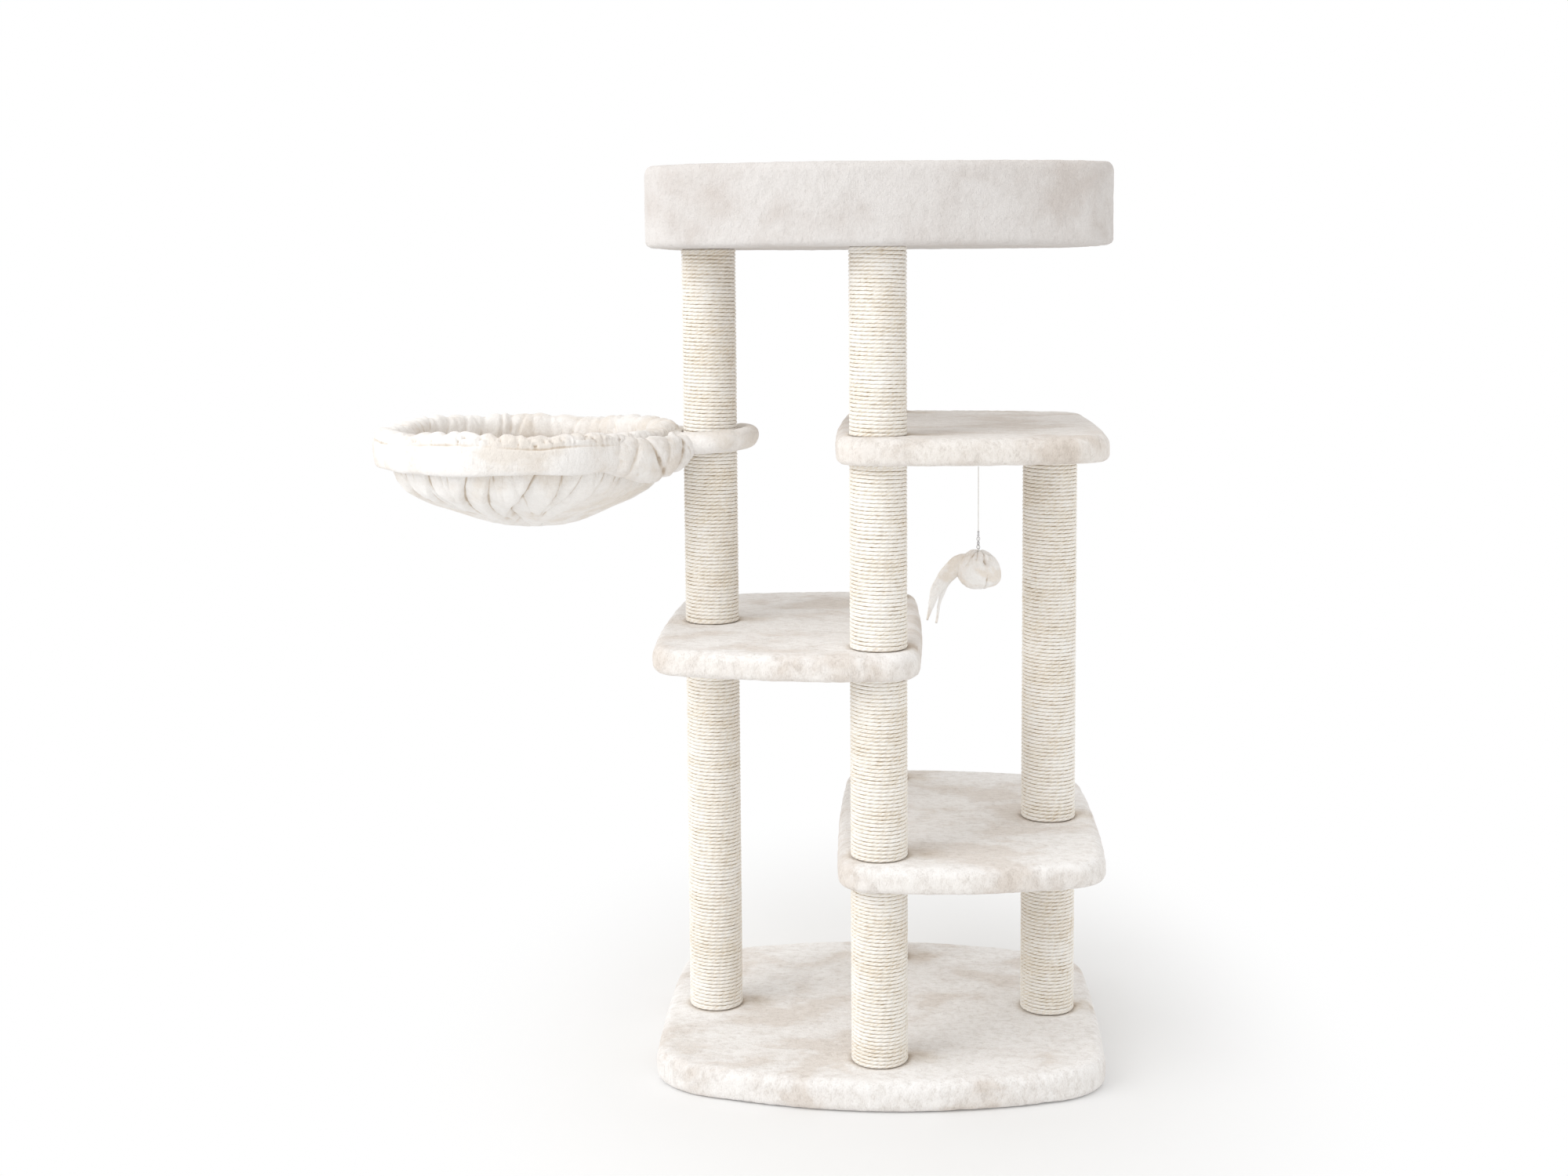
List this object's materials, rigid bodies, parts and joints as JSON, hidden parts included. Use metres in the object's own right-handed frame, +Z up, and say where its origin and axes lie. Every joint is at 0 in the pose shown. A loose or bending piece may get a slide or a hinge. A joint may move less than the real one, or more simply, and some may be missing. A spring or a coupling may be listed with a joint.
{
  "type": "cat tree",
  "caption": "Free-standing cat tree with sisal rope posts, plush covered shelves, a top bed, a swivelling round hammock and a toy on a string.",
  "frame": {"origin": "on the floor under the middle of the four posts, at the middle of the base's underside", "axes": "+Z up, -Y towards the front post, +X towards the right post, away from the hammock"},
  "size_m": [1.213, 0.66, 1.462],
  "materials": {
    "plush_cover": "matte",
    "hammock_plush": "matte",
    "toy_plush": "matte",
    "sisal_rope": "matte",
    "toy_string": "matte",
    "cardboard_tube": "matte",
    "particle_board": "matte",
    "zinc_steel": "satin",
    "frame_steel": "satin"
  },
  "bodies": {
    "tree": {"back_base_bolt": "zinc_steel", "back_bed_bolt": "zinc_steel", "back_post_1_sisal": "sisal_rope", "back_post_1_tube": "cardboard_tube", "back_post_2_sisal": "sisal_rope", "back_post_2_tube": "cardboard_tube", "back_post_3_sisal": "sisal_rope", "back_post_3_tube": "cardboard_tube", "back_post_4_sisal": "sisal_rope", "back_post_4_tube": "cardboard_tube", "back_stud_1": "zinc_steel", "back_stud_2": "zinc_steel", "back_stud_3": "zinc_steel", "base_board": "particle_board", "base_cover": "plush_cover", "bed_cover": "plush_cover", "bed_cushion": "plush_cover", "bed_tray": "particle_board", "front_base_bolt": "zinc_steel", "front_bed_bolt": "zinc_steel", "front_post_1_sisal": "sisal_rope", "front_post_1_tube": "cardboard_tube", "front_post_2_sisal": "sisal_rope", "front_post_2_tube": "cardboard_tube", "front_post_3_sisal": "sisal_rope", "front_post_3_tube": "cardboard_tube", "front_post_4_sisal": "sisal_rope", "front_post_4_tube": "cardboard_tube", "front_stud_1": "zinc_steel", "front_stud_2": "zinc_steel", "front_stud_3": "zinc_steel", "left_base_bolt": "zinc_steel", "left_bed_bolt": "zinc_steel", "left_hammock_stud": "zinc_steel", "left_post_1_sisal": "sisal_rope", "left_post_1_tube": "cardboard_tube", "left_post_2_sisal": "sisal_rope", "left_post_2_tube": "cardboard_tube", "left_post_3_sisal": "sisal_rope", "left_post_3_tube": "cardboard_tube", "left_shelf_board": "particle_board", "left_shelf_cover": "plush_cover", "left_stud_2": "zinc_steel", "lower_right_shelf_board": "particle_board", "lower_right_shelf_cover": "plush_cover", "right_base_bolt": "zinc_steel", "right_post_1_sisal": "sisal_rope", "right_post_1_tube": "cardboard_tube", "right_post_2_sisal": "sisal_rope", "right_post_2_tube": "cardboard_tube", "right_stud_1": "zinc_steel", "right_stud_3": "zinc_steel", "toy_eye": "zinc_steel", "upper_right_shelf_board": "particle_board", "upper_right_shelf_cover": "plush_cover"},
    "hammock": {"hammock_frame": "frame_steel", "hammock_sling": "hammock_plush"},
    "toy_ring_link": {"toy_ring": "zinc_steel"},
    "toy": {"toy_string": "toy_string", "toy_body": "toy_plush"}
  },
  "joints": [
    {"name": "hammock_swivel", "type": "hinge", "parent": "tree", "child": "hammock", "pos_m": [-0.282, 0, 1.0235], "axis": [0, 0, 1], "range_deg": [-75, 75]},
    {"name": "toy_swing_front_back", "type": "hinge", "parent": "tree", "child": "toy_ring_link", "pos_m": [0.16, -0.1, 0.9925], "axis": [1, 0, 0], "range_deg": [-17, 17]},
    {"name": "toy_swing_side", "type": "hinge", "parent": "toy_ring_link", "child": "toy", "pos_m": [0.16, -0.1, 0.9847], "axis": [0, 1, 0], "range_deg": [-17, 17]}
  ]
}
